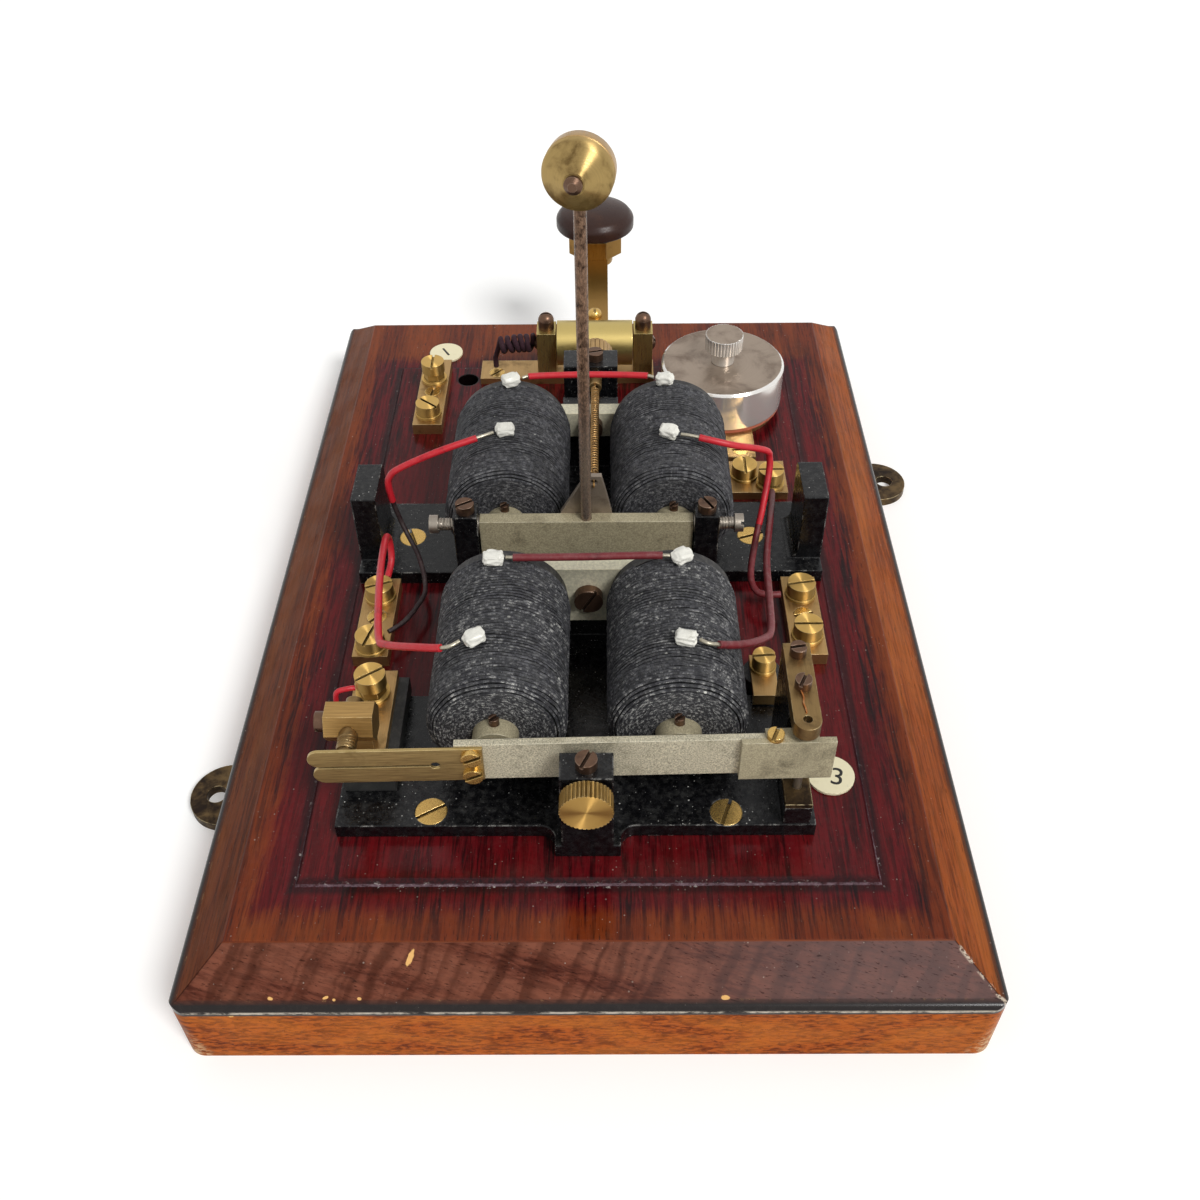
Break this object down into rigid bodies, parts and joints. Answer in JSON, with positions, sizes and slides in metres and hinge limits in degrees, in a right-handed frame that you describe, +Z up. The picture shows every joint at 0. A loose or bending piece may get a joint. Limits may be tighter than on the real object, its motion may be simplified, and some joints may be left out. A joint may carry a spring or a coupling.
{
  "type": "railway block bell",
  "caption": "Railway block bell movement on a moulded wooden base: relay and bell magnets, pivoted hammer, lightning protector, terminals and a sprung tapper key.",
  "frame": {"origin": "middle of the underside of the wooden base", "axes": "+Z up from the base, +Y towards the tapper key, +X to the right seen from the relay end"},
  "size_m": [0.2376, 0.3323, 0.18],
  "materials": {
    "mahogany": "aged varnish",
    "black_japan": "worn satin",
    "aged_brass": "dull lacquer",
    "bright_brass": "satin",
    "soft_iron": "dull grained",
    "bronzed_steel": "oil bronzed",
    "rusty_steel": "light rust",
    "nickel": "polished, tarnished",
    "winding_cloth": "dusty cloth",
    "black_ebonite": "faded",
    "brown_ebonite": "worn polish",
    "red_insulation": "satin",
    "white_bead": "soiled",
    "red_fibre": "matt",
    "ivory": "satin"
  },
  "bodies": {
    "base": {"base_board": "mahogany", "bed_casting": "black_japan", "hanging_lugs": "aged_brass", "spring_adjuster": "aged_brass", "bearing_strap": "aged_brass", "lower_bearing": "aged_brass", "contact_bracket": "aged_brass", "contact_screw": "aged_brass", "relay_terminal_tongue": "aged_brass", "terminal_strips": "aged_brass", "line_strip": "aged_brass", "protector_plates": "aged_brass", "tapper_plate": "aged_brass", "tapper_pillars": "aged_brass", "protector_stud": "aged_brass", "tapper_contact": "aged_brass", "countersunk_screws": "bright_brass", "contact_block": "bright_brass", "terminal_screws": "bright_brass", "magnet_yokes": "soft_iron", "magnet_cores": "soft_iron", "pole_shoes": "soft_iron", "yoke_screws": "bronzed_steel", "shoe_screws": "bronzed_steel", "trunnion_screws": "bronzed_steel", "lock_screws": "bronzed_steel", "tapper_pivots": "bronzed_steel", "return_spring": "bronzed_steel", "tapper_spring": "bronzed_steel", "protector_drum": "nickel", "coil_windings": "winding_cloth", "winding_turns": "winding_cloth", "pigtail": "winding_cloth", "coil_bobbins": "black_ebonite", "insulator_block": "black_ebonite", "relay_terminal_bush": "black_ebonite", "bridge_leads": "red_insulation", "coil_leads": "red_insulation", "contact_lead": "red_insulation", "lead_beads": "white_bead", "protector_washer": "red_fibre", "label_discs": "ivory"},
    "hammer": {"bell_armature": "soft_iron", "hammer_gusset": "bronzed_steel", "hammer_rod": "rusty_steel", "hammer_head": "bright_brass", "striking_pin": "soft_iron"},
    "relay_arm": {"relay_armature": "soft_iron", "hinge_block": "soft_iron", "contact_blade": "aged_brass", "relay_screws": "bright_brass", "relay_pin": "soft_iron"},
    "tapper": {"tapper_lever": "aged_brass", "lever_screw": "bright_brass", "tapper_collar": "aged_brass", "tapper_knob": "brown_ebonite"},
    "stop": {"stop_screw": "bright_brass"},
    "clamp_nut": {"protector_nut": "nickel"},
    "spring_nut": {"adjuster_nut": "aged_brass"}
  },
  "joints": [
    {"name": "hammer_swing", "type": "hinge", "parent": "base", "child": "hammer", "pos_m": [-0.0008, -0.0232, 0.0652], "axis": [1, 0, 0], "range_deg": [0, 6], "stiffness_Nm_per_rad": 0.06, "springref_deg": -14.32, "deforming": ["return_spring"]},
    {"name": "relay_swing", "type": "hinge", "parent": "base", "child": "relay_arm", "pos_m": [0.0529, -0.1042, 0.06], "axis": [0, 0, -1], "range_deg": [0, 0.8], "stiffness_Nm_per_rad": 0.02, "springref_deg": -5.73},
    {"name": "tapper_press", "type": "hinge", "parent": "base", "child": "tapper", "pos_m": [0.001, 0.0996, 0.04845], "axis": [-1, 0, 0], "range_deg": [0, 4], "stiffness_Nm_per_rad": 1, "springref_deg": -8.59, "deforming": ["tapper_spring"]},
    {"name": "stop_turn", "type": "hinge", "parent": "base", "child": "stop", "pos_m": [0, -0.1166, 0.061], "axis": [0, 1, 0], "continuous": true},
    {"name": "clamp_nut_turn", "type": "hinge", "parent": "base", "child": "clamp_nut", "pos_m": [0.0468, 0.079, 0.056], "axis": [0, 0, 1], "continuous": true},
    {"name": "spring_nut_turn", "type": "hinge", "parent": "base", "child": "spring_nut", "pos_m": [0.0015, 0.0651, 0.0642], "axis": [0, 1, 0], "continuous": true}
  ]
}
